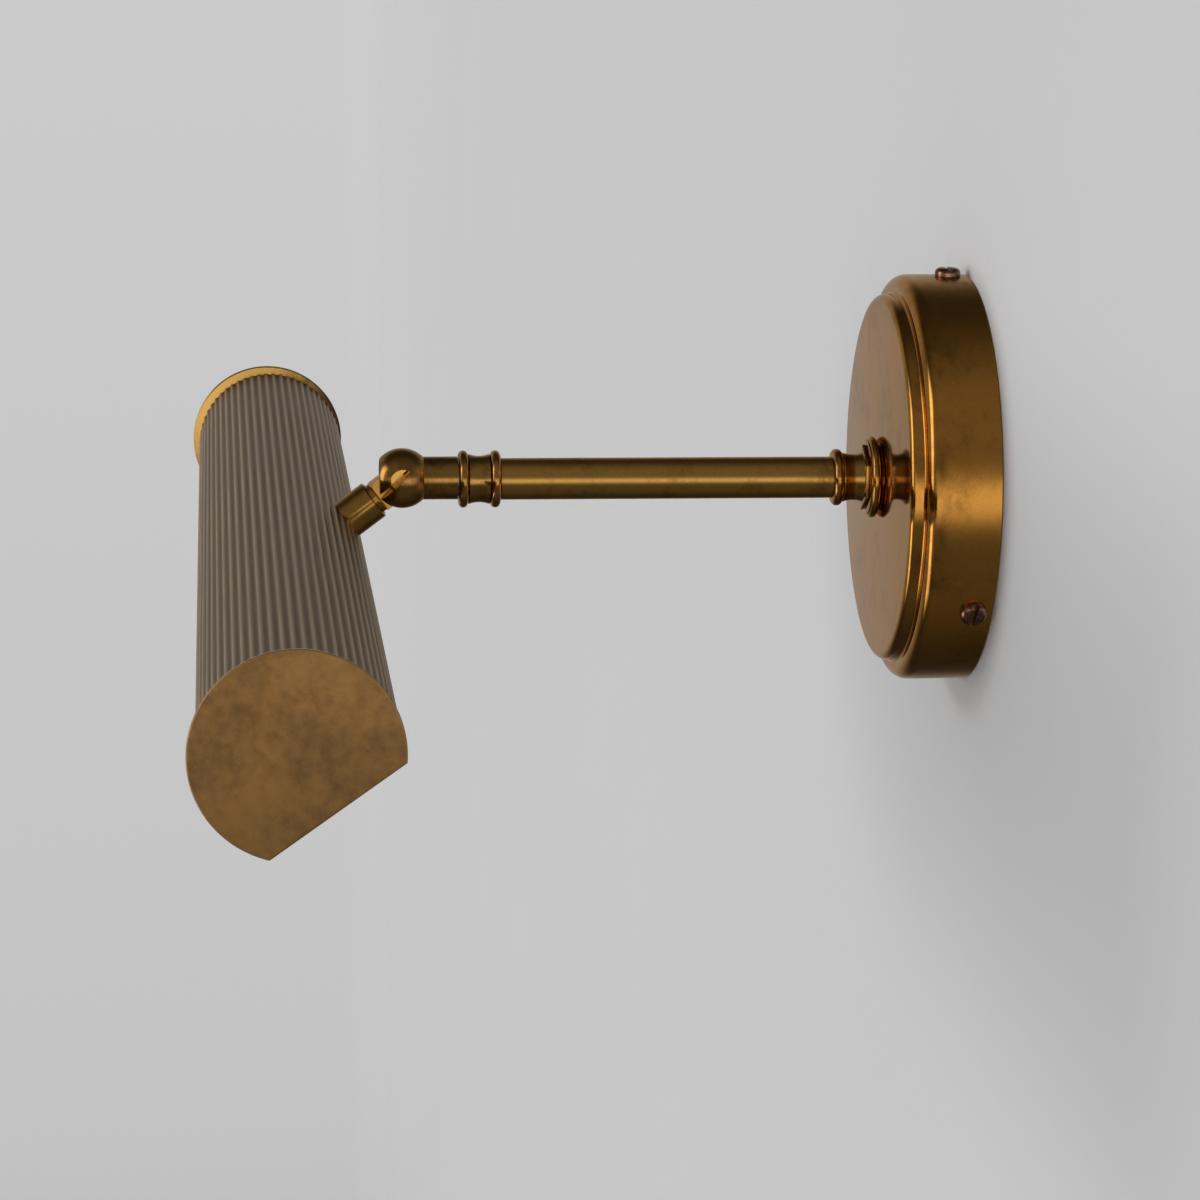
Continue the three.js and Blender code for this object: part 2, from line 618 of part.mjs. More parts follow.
for (const [word, side] of [["right", 1], ["left", -1]]) {
  const run = [
    [side * 1.3, -19, 0],
    [side * 1.3, -23, 0],
    [side * 1.7, -27, 0.3],
    [side * 4.4, -32.4, 1.3],
    [side * 9, -36.2, 2.3],
    [side * 13, -36.9, LAMP_RISE],
    [side * 21, -36.9, LAMP_RISE],
  ];
  place(stub, `shade_lead_${word}`, lead(1, run), leadSheath);
  const holderFrame = new THREE.Group(); // local +Y runs out along the lamp
  holderFrame.position.set(side * (EAR_X + GAP), -SHADE_REACH, LAMP_RISE);
  holderFrame.rotation.z = (-side * Math.PI) / 2;
  stub.add(holderFrame);
  place(holderFrame, `lampholder_${word}`, lampholder(), porcelain);
  place(
    holderFrame,
    `holder_nut_${word}`,
    hexNut(HOLDER_NUT_AF, BORE_R, -STRAP_THICK - 2 * GAP, 2.4),
    brightBrass,
  );
  place(holderFrame, `lamp_cap_${word}`, lampCap(), zincSteel);
  place(holderFrame, `lamp_glass_${word}`, lampGlass(), opalGlass);
}

export default pictureLight;
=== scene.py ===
"""A wall-mounted picture light in aged brass: a round stepped rose, a straight arm with beaded collars,
a slotted ball knuckle and a long fluted shade over two tubular lamps."""

import math

import bmesh
import bpy
from mathutils import Matrix, Vector


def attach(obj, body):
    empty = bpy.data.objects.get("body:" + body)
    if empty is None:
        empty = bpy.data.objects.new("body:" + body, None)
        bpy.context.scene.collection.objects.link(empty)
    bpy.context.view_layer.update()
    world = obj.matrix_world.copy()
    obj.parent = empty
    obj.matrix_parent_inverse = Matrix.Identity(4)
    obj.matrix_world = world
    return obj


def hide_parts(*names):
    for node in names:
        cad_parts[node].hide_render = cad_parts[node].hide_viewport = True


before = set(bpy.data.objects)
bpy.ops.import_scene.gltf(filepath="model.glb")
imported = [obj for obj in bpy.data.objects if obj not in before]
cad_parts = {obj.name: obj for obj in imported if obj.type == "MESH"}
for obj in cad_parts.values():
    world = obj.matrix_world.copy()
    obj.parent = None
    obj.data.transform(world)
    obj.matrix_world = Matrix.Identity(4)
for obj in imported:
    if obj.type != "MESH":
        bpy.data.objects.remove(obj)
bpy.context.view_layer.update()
scene = bpy.context.scene
scene.view_settings.view_transform = "Standard"
scene.cycles.use_denoising = True
mm = 0.001


# ---- Camera ----
# A long lens off the shade's right-hand end, a little above the arm and nearly along the wall.
def looking(azimuth, elevation, roll):
    """A camera's rotation: azimuth 0 looks along +Y and 90 along -X, in degrees."""
    a, e = math.radians(azimuth), math.radians(elevation)
    back = Vector((math.sin(a) * math.cos(e), -math.cos(a) * math.cos(e), math.sin(e)))
    right = (-back).cross(Vector((0, 0, 1))).normalized()
    level = Matrix((right, right.cross(-back), back)).transposed()
    return (level @ Matrix.Rotation(math.radians(roll), 3, "Z")).to_4x4()


lens = bpy.data.cameras.new("long_lens")
lens.sensor_width = 36
lens.lens = 108.03
lens.clip_start, lens.clip_end = 0.05, 50
camera = bpy.data.objects.new("long_lens", lens)
scene.collection.objects.link(camera)
camera.matrix_world = Matrix.Translation((0.8655, -0.1838, 0.1574)) @ looking(83.779, 12.183, 0.816)
scene.camera = camera


# ---- Studio ----
# A pale painted wall and a pale floor that fade into a pale room, and a soft lamp from the upper left.
# Polished brass mirrors a dim room instead: light walls, a long low window and a tall narrow one.
class Field:
    """A number, vector or colour that varies over a surface. + - * on numbers add Math nodes."""

    def __init__(self, finish, socket):
        self.finish, self.socket = finish, socket

    def _math(self, operation, first, second):
        return self.finish.node("ShaderNodeMath", {"operation": operation}, {0: first, 1: second})

    def __add__(self, other):
        return self._math("ADD", self, other)

    def __sub__(self, other):
        return self._math("SUBTRACT", self, other)

    def __rsub__(self, other):
        return self._math("SUBTRACT", other, self)

    def __mul__(self, other):
        return self._math("MULTIPLY", self, other)

    def __abs__(self):
        return self._math("ABSOLUTE", self, 0.0)

    __radd__, __rmul__ = __add__, __mul__

    def part(self, name):
        """One coordinate of a vector, X, Y or Z."""
        return self.finish.node("ShaderNodeSeparateXYZ", {}, {0: self}, name)


class Finish:
    """A procedural surface finish, or the room's light, made of nodes."""

    def __init__(self, owner):
        self.owner = owner
        owner.use_nodes = True
        self.tree = owner.node_tree
        self.tree.nodes.clear()

    def node(self, kind, settings, inputs, output=0):
        made = self.tree.nodes.new(kind)
        for key, value in settings.items():
            setattr(made, key, value)
        for key, value in inputs.items():
            if isinstance(value, Field):
                self.tree.links.new(value.socket, made.inputs[key])
            else:
                made.inputs[key].default_value = value
        return Field(self, made.outputs[output]) if made.outputs else None

    def place(self, stretch=(1, 1, 1), shift=(0, 0, 0), turn=0.0):
        """The point on the piece, in metres, after a shift, a turn about X and a stretch."""
        spot = self.node("ShaderNodeTexCoord", {}, {}, "Object")
        moved = self.node("ShaderNodeVectorMath", {"operation": "ADD"}, {0: spot, 1: shift})
        if turn:
            turning = {"Vector": moved, "Rotation": (math.radians(turn), 0, 0)}
            moved = self.node("ShaderNodeMapping", {}, turning)
        return self.node("ShaderNodeMapping", {}, {"Vector": moved, "Scale": stretch})

    def away(self, stretch=(1, 1, 1), shift=(0, 0, 0)):
        """The distance from a point, or from an axis that stretch flattens."""
        spot = self.place(stretch, shift)
        return self.node("ShaderNodeVectorMath", {"operation": "LENGTH"}, {0: spot}, "Value")

    def clouds(self, size, detail=4.0, roughness=0.55, where=None):
        """Noise from 0 to 1 with patches of about this size, in metres."""
        inputs = {"Vector": where or self.place(), "Scale": 1 / size}
        inputs.update({"Detail": detail, "Roughness": roughness})
        return self.node("ShaderNodeTexNoise", {}, inputs, "Fac")

    def ramp(self, value, start, end, low=0.0, high=1.0):
        """Goes smoothly from low to high while value goes from start to end."""
        inputs = {"Value": value, 1: start, 2: end, 3: low, 4: high}
        return self.node("ShaderNodeMapRange", {"interpolation_type": "SMOOTHSTEP"}, inputs)

    def mix(self, amount, first, second):
        """A colour between first and second."""
        first, second = [c if isinstance(c, Field) else (*c, 1) for c in (first, second)]
        return self.node("ShaderNodeMix", {"data_type": "RGBA"}, {0: amount, 6: first, 7: second}, 2)

    def done(self, colour, roughness, metallic=0.0, relief=None, depth=0.0, **fixed):
        """Closes the finish with its shader. Relief runs from 0 to 1 and depth is in metres."""
        inputs = {"Base Color": colour, "Roughness": roughness, "Metallic": metallic}
        if relief is not None:
            inputs["Normal"] = self.node("ShaderNodeBump", {}, {"Distance": depth, "Height": relief})
        inputs.update({key.replace("_", " "): value for key, value in fixed.items()})
        shader = self.node("ShaderNodeBsdfPrincipled", {}, inputs)
        self.node("ShaderNodeOutputMaterial", {}, {"Surface": shader})
        return self.owner


def matt_paint(name, colour, hole, flatten):
    """Matt paint that fades out far away, with a round hole, and that isn't there from behind."""
    paint = Finish(bpy.data.materials.new(name))
    darker = tuple(c * 0.985 for c in colour)
    tone = paint.mix(paint.ramp(paint.clouds(0.4, 3), 0.3, 0.7), colour, darker)
    relief = paint.node("ShaderNodeBump", {}, {"Distance": 0.0003, "Height": paint.clouds(0.015)})
    inputs = {"Base Color": tone, "Roughness": 0.9, "Specular IOR Level": 0.1, "Normal": relief}
    front = paint.node("ShaderNodeBsdfPrincipled", {}, inputs)
    clear = paint.node("ShaderNodeBsdfTransparent", {}, {})
    away = paint.away(flatten)
    unseen = paint.ramp(away, 1.0, 4.5) + paint.ramp(away, hole, hole + 0.0002, 1, 0)
    behind = paint.node("ShaderNodeNewGeometry", {}, {}, "Backfacing")
    unseen = paint.node("ShaderNodeMath", {"operation": "MAXIMUM"}, {0: unseen, 1: behind})
    shader = paint.node("ShaderNodeMixShader", {}, {0: unseen, 1: front, 2: clear})
    paint.node("ShaderNodeOutputMaterial", {}, {"Surface": shader})
    return paint.owner


def studio_sheet(name, material, turn, where):
    """A large flat sheet of the studio, which polish doesn't mirror."""
    sheet = bmesh.new()
    bmesh.ops.create_grid(sheet, x_segments=1, y_segments=1, size=5)
    bmesh.ops.rotate(sheet, verts=sheet.verts, matrix=turn)
    bmesh.ops.translate(sheet, verts=sheet.verts, vec=where)
    data = bpy.data.meshes.new(name)
    sheet.to_mesh(data)
    sheet.free()
    data.materials.append(material)
    prop = bpy.data.objects.new(name, data)
    prop.visible_glossy = False
    scene.collection.objects.link(prop)


FLOOR_Z = -1.6
wall_paint = matt_paint("wall_paint", (0.645, 0.645, 0.65), 0.0485, (1, 0, 1))
floor_paint = matt_paint("floor_paint", (0.66, 0.66, 0.65), 0, (1, 1, 0))
studio_sheet("studio_wall", wall_paint, Matrix.Rotation(math.radians(90), 3, "X"), (0, 0, 0))
studio_sheet("studio_floor", floor_paint, Matrix.Identity(3), (0, 0, FLOOR_Z))

sun = bpy.data.lights.new("soft_lamp", "SUN")
sun.energy, sun.angle, sun.color = 1.98, math.radians(50), (1.0, 0.995, 0.99)
soft_lamp = bpy.data.objects.new("soft_lamp", sun)
soft_lamp.matrix_world = Vector((-0.36, -0.93, 0.13)).to_track_quat("Z", "Y").to_matrix().to_4x4()
soft_lamp.visible_glossy = False
scene.collection.objects.link(soft_lamp)


def studio_room():
    """The room's light, by direction: pale for everything matt, and for polish its walls and window."""
    room = Finish(bpy.data.worlds.new("room"))
    direction = room.node("ShaderNodeTexCoord", {}, {}, "Generated")
    x, y, z = [direction.part(name) for name in "XYZ"]
    walls = 0.36 * room.ramp(abs(z), 0.3, 0.75, 1, 0) * room.ramp(x, 0.1, 0.6, 1, 0)
    ceiling = 0.22 * room.ramp(x, -0.4, 0.7) * room.ramp(z, -0.6, 0.1, 0.45, 1)
    window = 1.1 * room.ramp(abs(z + 0.05), 0.06, 0.3, 1, 0) * room.ramp(x, 0.35, 0.9)
    tall = room.ramp(abs(z + 0.05), 0.5, 0.72, 1, 0) * room.ramp(y, -0.65, -0.4, 1, 0)
    front = 2.4 * tall * room.ramp(abs(x - 0.02), 0.1, 0.26, 1, 0)
    mirrored = walls + ceiling + window + front + 0.05
    glossy = room.node("ShaderNodeLightPath", {}, {}, "Is Glossy Ray")
    seen = room.mix(room.ramp(z, -0.45, 0.1), (0.545, 0.545, 0.55), (0.61, 0.61, 0.612))
    diffuse = room.node("ShaderNodeLightPath", {}, {}, "Is Diffuse Ray")
    pale = room.mix(diffuse, seen, (0.30, 0.302, 0.306))
    light = room.mix(glossy, pale, mirrored)
    shader = room.node("ShaderNodeBackground", {}, {"Color": light})
    room.node("ShaderNodeOutputWorld", {}, {"Surface": shader})
    return room.owner


scene.world = studio_room()


# ---- Wall plate, its fixings and the wiring ----
# Zinc-plated pressed steel against the wall, a rubber grommet, a moulded terminal block and brass and
# steel hardware. They sit inside the rose, so the frame's own solids stay and only take their finishes.
def zinc_plate(name):
    zinc = Finish(bpy.data.materials.new(name))
    spangle = zinc.clouds(0.004, 5, 0.6)
    colour = zinc.mix(zinc.ramp(spangle, 0.35, 0.65), (0.46, 0.47, 0.48), (0.62, 0.62, 0.60))
    fine = zinc.clouds(0.0004, 3)
    rough = zinc.ramp(spangle, 0.3, 0.7, 0.3, 0.48)
    return zinc.done(colour, rough, 1.0, fine, 0.00003)


def moulding(name, colour, shine=0.45):
    resin = Finish(bpy.data.materials.new(name))
    skin = resin.clouds(0.0006, 3)
    worn = resin.ramp(resin.clouds(0.006, 4), 0.35, 0.7)
    darker = tuple(c * 0.82 for c in colour)
    return resin.done(resin.mix(worn, colour, darker), worn * 0.12 + shine, 0.0, skin, 0.00004)


def plain_brass(name):
    brass = Finish(bpy.data.materials.new(name))
    film = brass.ramp(brass.clouds(0.003, 5, 0.6), 0.35, 0.7)
    colour = brass.mix(film, (0.66, 0.44, 0.15), (0.36, 0.22, 0.07))
    return brass.done(colour, film * 0.18 + 0.22, 1.0, brass.clouds(0.0005, 3), 0.00003)


def sheath(name):
    cover = Finish(bpy.data.materials.new(name))
    grime = cover.ramp(cover.clouds(0.004, 4), 0.4, 0.75)
    colour = cover.mix(grime, (0.70, 0.69, 0.66), (0.52, 0.50, 0.46))
    return cover.done(colour, grime * 0.15 + 0.42, 0.0, cover.clouds(0.0008, 2), 0.00003)


zinc = zinc_plate("zinc_plate")
bright = plain_brass("plain_brass")
white_resin = moulding("white_resin", (0.80, 0.79, 0.75))
black_resin = moulding("black_resin", (0.022, 0.022, 0.024), 0.5)
lead_cover = sheath("lead_cover")
carried = {
    "wall_plate": zinc, "entry_grommet": black_resin, "terminal_block": white_resin,
    "terminal_screw_1": zinc, "terminal_screw_2": zinc, "terminal_screw_3": zinc,
    "earth_tag": bright, "earth_screw": bright, "rose_lead_right": lead_cover,
    "rose_lead_left": lead_cover, "rose_nipple": zinc, "rose_washer": zinc, "rose_nut": bright,
    "front_nipple": zinc, "arm_lead": lead_cover, "shade_nipple": zinc, "shade_saddle": zinc,
    "lamp_bracket": zinc, "shade_nut": bright, "holder_nut_right": bright,
    "holder_nut_left": bright, "shade_lead_right": lead_cover, "shade_lead_left": lead_cover,
}
for node, material in carried.items():
    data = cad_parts[node].data
    data.materials.clear()
    data.materials.append(material)


# ---- Rose cover ----
# A spun brass cap with a satin face on a polished, stepped shoulder, aged to a dark gold with brown
# clouds. Three screws through its side hold it on the wall plate's lugs.
ROSE_R, ROSE_BACK_Y, ROSE_FACE_Y, ROSE_SHEET = 50.0, -0.3, -21.0, 1.2
STEP_INSIDE_R, BORE_R = 44.0, 4.3


def aged_brass(name, gold, brown, tarnish=0.5, shine=0.26, spread=0.16, patch=0.010, polish=None):
    """Lacquered brass that has browned in clouds. polish is a (y, shine) pair: glossier up to that y."""
    brass = Finish(bpy.data.materials.new(name))
    clouds = brass.clouds(patch, 6, 0.6)
    mottle = brass.clouds(patch * 0.16, 5, 0.65)
    age = brass.ramp(clouds * 0.7 + mottle * 0.3, 0.62 - 0.3 * tarnish, 0.86 - 0.3 * tarnish)
    colour = brass.mix(age, gold, brown)
    fine = brass.clouds(0.0005, 3)
    colour = brass.mix(brass.ramp(fine, 0.3, 0.75, 0.0, 0.25), colour, brown)
    rough = age * spread + shine
    if polish:
        face = brass.ramp(brass.place().part("Y"), polish[0], polish[0] + 0.003)
        rough = rough * face + (1 - face) * (age * 0.05 + polish[1])
    relief = mottle * 0.6 + fine * 0.4
    tint = (1.0, 0.88, 0.74, 1)
    return brass.done(colour, rough, 1.0, relief, 0.00001, Specular_Tint=tint)


def arc(r, y, radius, start, end, steps):
    """Points of an arc in (radius, y), with both ends, in degrees from the outward direction."""
    angles = [math.radians(start + (end - start) * i / steps) for i in range(steps + 1)]
    return [(r + radius * math.cos(a), y + radius * math.sin(a)) for a in angles]


def turned(outline, steps=96, closed=True):
    """A shape turned about Y from an outline in (radius, y)."""
    shape = bmesh.new()
    points = [shape.verts.new((r, y, 0)) for r, y in outline]
    pairs = list(zip(points, points[1:]))
    if closed:
        pairs.append((points[-1], points[0]))
    edges = [shape.edges.new(pair) for pair in pairs]
    bmesh.ops.spin(
        shape, geom=points + edges, cent=(0, 0, 0), axis=(0, 1, 0), dvec=(0, 0, 0),
        angle=2 * math.pi, steps=steps, use_merge=True,
    )
    bmesh.ops.remove_doubles(shape, verts=shape.verts, dist=1e-4)
    bmesh.ops.recalc_face_normals(shape, faces=shape.faces)
    return shape


def finished(shape, name, body, nodes, slot, *finishes, corner=32, rounding=0.0):
    """A shape in millimetres becomes a piece that rides on a body and stands for its nodes."""
    shape.transform(Matrix.Scale(mm, 4))
    data = bpy.data.meshes.new(name)
    shape.to_mesh(data)
    shape.free()
    for material in finishes:
        data.materials.append(material)
    data.shade_smooth()
    data.set_sharp_from_angle(angle=math.radians(corner))
    piece = bpy.data.objects.new(name, data)
    scene.collection.objects.link(piece)
    if rounding:
        edge = piece.modifiers.new("edge", "BEVEL")
        edge.width, edge.segments, edge.limit_method = rounding * mm, 2, "ANGLE"
        edge.angle_limit = math.radians(40)
        edge.use_clamp_overlap = True
    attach(piece, body)
    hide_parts(*nodes)
    return piece


rose_brass = aged_brass(
    "rose_brass", (0.49, 0.222, 0.040), (0.25, 0.110, 0.024), 0.55, 0.21, 0.1, 0.02,
    polish=(-0.0155, 0.07),
)
rose = turned([
    (ROSE_R, ROSE_BACK_Y),
    *arc(46.7, -14.2, 3.3, 0, -90, 14),
    *arc(46.2, -18.5, 1.0, 90, 180, 8),
    *arc(43.4, -19.2, 1.8, 0, -90, 10),
    (BORE_R, ROSE_FACE_Y),
    (BORE_R, ROSE_FACE_Y + ROSE_SHEET),
    (STEP_INSIDE_R, ROSE_FACE_Y + ROSE_SHEET),
    (STEP_INSIDE_R, -16.3),
    (ROSE_R - ROSE_SHEET, -15.3),
    (ROSE_R - ROSE_SHEET, ROSE_BACK_Y),
], 192)
finished(rose, "rose_cover", "wall_unit", ["rose_cover"], "aged_brass", rose_brass)


# ---- Cover screws ----
# Small slotted pan heads in darkened copper bronze, turned and then slit. They go through the rose's
# side into the wall plate's lugs, at the top and a third of a turn to either side.
def box_at(low, high):
    """A plain block between two corners, for cutting with."""
    block = bmesh.new()
    low, high = Vector(low), Vector(high)
    bmesh.ops.create_cube(block, size=1, matrix=Matrix.Diagonal((*(high - low), 1)))
    bmesh.ops.translate(block, verts=block.verts, vec=(low + high) / 2)
    return block


def as_object(shape, name):
    """A passing object, for the boolean cuts."""
    data = bpy.data.meshes.new(name)
    shape.to_mesh(data)
    shape.free()
    made = bpy.data.objects.new(name, data)
    scene.collection.objects.link(made)
    return made


def cut_away(shape, *tools):
    """The shape with each tool's solid taken out of it."""
    blank = as_object(shape, "blank")
    cutters = [as_object(tool, "cutter") for tool in tools]
    for cutter in cutters:
        cut = blank.modifiers.new("cut", "BOOLEAN")
        cut.operation, cut.solver, cut.object = "DIFFERENCE", "EXACT", cutter
    bpy.context.view_layer.update()
    done = blank.evaluated_get(bpy.context.evaluated_depsgraph_get()).to_mesh()
    result = bmesh.new()
    result.from_mesh(done)
    for used in (blank, *cutters):
        bpy.data.objects.remove(used)
    bmesh.ops.remove_doubles(result, verts=result.verts, dist=1e-4)
    return result


def slotted_head(radius, height, shank, length, groove, depth, turn):
    """A screw about Y with its head's underside at y = 0 and the head towards +Y."""
    rim = 0.38 * height
    dome = arc(0, 0, 1, 0, 90, 10)
    outline = [(0, -length), (shank, -length), (shank, 0), (radius, 0)]
    outline += [(radius * (0.55 + 0.45 * c), rim + (height - rim) * s) for c, s in dome]
    screw = turned([*outline, (0, height)], 48, closed=False)
    slit = box_at((-radius * 2, height - depth, -groove / 2), (radius * 2, height * 2, groove / 2))
    bmesh.ops.rotate(slit, verts=slit.verts, matrix=Matrix.Rotation(math.radians(turn), 3, "Y"))
    return cut_away(screw, slit)


def copper_bronze(name):
    bronze = Finish(bpy.data.materials.new(name))
    film = bronze.ramp(bronze.clouds(0.0012, 5, 0.6), 0.35, 0.7)
    colour = bronze.mix(film, (0.30, 0.15, 0.095), (0.07, 0.034, 0.024))
    return bronze.done(colour, film * 0.15 + 0.2, 1.0, bronze.clouds(0.0003, 3), 0.00002)


screw_bronze = copper_bronze("screw_bronze")
SCREW_Y, HEAD_R, HEAD_HEIGHT = -4.9, 3.15, 2.0
SHANK_R, SHANK_LENGTH, SLIT_WIDTH, SLIT_DEPTH = 1.5, 5.2, 1.1, 1.1
for number, (turn, slit_turn) in enumerate([(0, 5), (120, 172), (240, 30)], 1):
    screw = slotted_head(
        HEAD_R, HEAD_HEIGHT, SHANK_R, SHANK_LENGTH, SLIT_WIDTH, SLIT_DEPTH, slit_turn
    )
    out = Matrix.Rotation(math.radians(90), 4, "X")
    out = Matrix.Translation((0, SCREW_Y, ROSE_R)) @ out
    screw.transform(Matrix.Rotation(math.radians(turn), 4, "Y") @ out)
    finished(
        screw, f"cover_screw_{number}", "wall_unit", [f"cover_screw_{number}"],
        "dark_bronze", screw_bronze, rounding=0.08,
    )


# ---- Seating ring, lock nut and rear collar ----
# Turned brass: a ring with a rounded rim sits on the rose, a thin hexagon nut locks the arm to it, and a
# waisted collar with a bead takes the end of the arm.
collar_brass = aged_brass(
    "collar_brass", (0.44, 0.225, 0.055), (0.19, 0.09, 0.026), 0.5, 0.14, 0.1, 0.006
)
NUT_R, NUT_Y, NUT_HEIGHT, NUT_EDGE = 8.2, -24.45, 0.95, 0.25
BEAD_R, WAIST_R, ARM_R = 7.03, 5.68, 5.1


def bead(y, half):
    """The half-round edge of a bead, from its +Y side to its -Y side."""
    return arc(BEAD_R - half, y, half, 90, -90, 12)


def waist(top, bottom, rim):
    """A hollow that narrows to the waist between two equal rims."""
    steps = 12
    return [
        (WAIST_R + (rim - WAIST_R) * (2 * i / steps - 1) ** 2, top + (bottom - top) * i / steps)
        for i in range(steps + 1)
    ]


ring = turned([
    (BORE_R, -21.0), (8.3, -21.0), (8.45, -21.5), *arc(8.95, -22.5, 1.12, 62, -50, 12),
    (9.3, -23.55), (9.3, -23.85), (9.0, -23.95), (BORE_R, -23.95),
])
finished(ring, "seat_ring", "wall_unit", ["seat_ring"], "aged_brass", collar_brass)

nut = bmesh.new()
bmesh.ops.create_cone(
    nut, cap_ends=True, segments=6, radius1=NUT_R, radius2=NUT_R, depth=NUT_HEIGHT,
    matrix=Matrix.Translation((0, NUT_Y, 0)) @ Matrix.Rotation(math.radians(90), 4, "X"),
)
bmesh.ops.bevel(
    nut, geom=nut.edges[:], offset=NUT_EDGE, affect="EDGES", segments=2, profile=0.5, material=-1
)
finished(nut, "lock_nut", "wall_unit", ["lock_nut"], "aged_brass", collar_brass)

rear = turned([
    (BORE_R, -24.9), *waist(-24.9, -29.7, 6.1), (6.0, -29.95), *bead(-31.2, 1.25),
    (5.6, -32.5), (BORE_R, -32.5),
])
finished(rear, "rear_collar", "wall_unit", ["rear_collar"], "aged_brass", collar_brass)


# ---- Arm and front collar ----
# A straight length of drawn 10 mm brass tube, clouded brown by age, in a turned brass collar with two
# beads that takes the knuckle's neck on its nipple.
ARM_REAR_Y, ARM_FRONT_Y = -32.4, -114.5
arm_brass = aged_brass(
    "arm_brass", (0.48, 0.26, 0.06), (0.25, 0.125, 0.03), 0.5, 0.24, 0.1, 0.009
)
arm = turned([
    (BORE_R, ARM_REAR_Y), (ARM_R, ARM_REAR_Y), (ARM_R, ARM_FRONT_Y), (BORE_R, ARM_FRONT_Y),
])
finished(arm, "arm_tube", "wall_unit", ["arm_tube"], "aged_brass", arm_brass)

front = turned([
    (BORE_R, -114.4), (5.5, -114.4), *bead(-115.75, 1.2), (6.0, -117.1),
    *waist(-117.2, -122.2, 6.15), (6.0, -122.35), *bead(-123.6, 1.15), (5.3, -124.8),
    (BORE_R, -124.8),
])
finished(front, "front_collar", "wall_unit", ["front_collar"], "aged_brass", collar_brass)


# ---- Knuckle ball ----
# A turned ball on a neck, flattened at the front and slotted for the shade's tongue. A slanted window
# in its right cheek uncovers the head of the pivot screw.
BALL_Y, BALL_R, NECK_R, BALL_FLAT = -138.5, 7.35, 5.25, 5.45
SLOT_HALF, WELL_R, NECK_END_Y = 2.2, 4.25, -125.0
WINDOW_TILT, WINDOW_R, WALL_RISE, SLIT_HEIGHT = 45.5, 3.2, 0.3, 1.25
at_ball = Matrix.Translation((0, BALL_Y, 0.3))


def along_x(radius, low, high, steps=48):
    """A round bar about X."""
    bar = turned([(0, low), (radius, low), (radius, high), (0, high)], steps, closed=False)
    bmesh.ops.rotate(bar, verts=bar.verts, matrix=Matrix.Rotation(math.radians(-90), 3, "Z"))
    return bar


knuckle_brass = aged_brass(
    "knuckle_brass", (0.36, 0.185, 0.045), (0.17, 0.08, 0.024), 0.62, 0.17, 0.12, 0.005
)
rise = math.sqrt(BALL_R**2 - NECK_R**2)
ball = turned([
    *arc(0, 0, BALL_R, -90, math.degrees(math.atan2(rise, NECK_R)), 40),
    (NECK_R, NECK_END_Y - BALL_Y), (0, NECK_END_Y - BALL_Y),
], 96, closed=False)
below = box_at((1, -9, -9), (11, 9, WALL_RISE))
window = cut_away(along_x(WINDOW_R, 2.0, 10), below)
slit = box_at((2.0, -14, WALL_RISE), (10, 0, WALL_RISE + SLIT_HEIGHT))
for tool in (window, slit):
    tilt = Matrix.Rotation(math.radians(WINDOW_TILT), 3, "X")
    bmesh.ops.rotate(tool, verts=tool.verts, matrix=tilt)
ball = cut_away(
    ball,
    box_at((-9, -12, -9), (9, -BALL_FLAT, 9)),
    box_at((-SLOT_HALF, -12, -12), (SLOT_HALF, 0, WELL_R)),
    box_at((-SLOT_HALF, -12, -12), (SLOT_HALF, WELL_R, 0)),
    along_x(WELL_R, -SLOT_HALF, SLOT_HALF),
    along_x(3.35, 0, 3.4),
    window,
    slit,
)
ball.transform(at_ball)
finished(
    ball, "knuckle_ball", "wall_unit", ["knuckle_ball"], "aged_brass", knuckle_brass,
    rounding=0.12,
)


# ---- Pivot screw ----
# A bright turned brass screw across the ball's slot. Its slit head lies in the right cheek, where the
# window shows it, and it clamps the tongue.
PIVOT_R, PIVOT_END_X, PIVOT_HEAD_R, HEAD_X, FACE_X, HEAD_EDGE = 1.3, -6.2, 3.05, 2.3, 3.05, 0.2
GROOVE_LOW, GROOVE_HIGH, GROOVE_TURN = 0.62, 1.08, 44
rubbed_brass = aged_brass(
    "rubbed_brass", (0.78, 0.44, 0.11), (0.42, 0.21, 0.05), 0.35, 0.24, 0.1, 0.003
)
pivot = turned([
    (0, PIVOT_END_X), (PIVOT_R, PIVOT_END_X), (PIVOT_R, HEAD_X), (PIVOT_HEAD_R, HEAD_X),
    (PIVOT_HEAD_R, FACE_X - HEAD_EDGE), (PIVOT_HEAD_R - HEAD_EDGE, FACE_X), (0, FACE_X),
], 64, closed=False)
bmesh.ops.rotate(pivot, verts=pivot.verts, matrix=Matrix.Rotation(math.radians(-90), 3, "Z"))
groove = box_at((HEAD_X, -6, GROOVE_LOW), (4, 6, GROOVE_HIGH))
bmesh.ops.rotate(groove, verts=groove.verts, matrix=Matrix.Rotation(math.radians(GROOVE_TURN), 3, "X"))
pivot = cut_away(pivot, groove)
pivot.transform(at_ball)
finished(
    pivot, "pivot_screw", "wall_unit", ["pivot_screw"], "bright_brass", rubbed_brass,
    rounding=0.05,
)


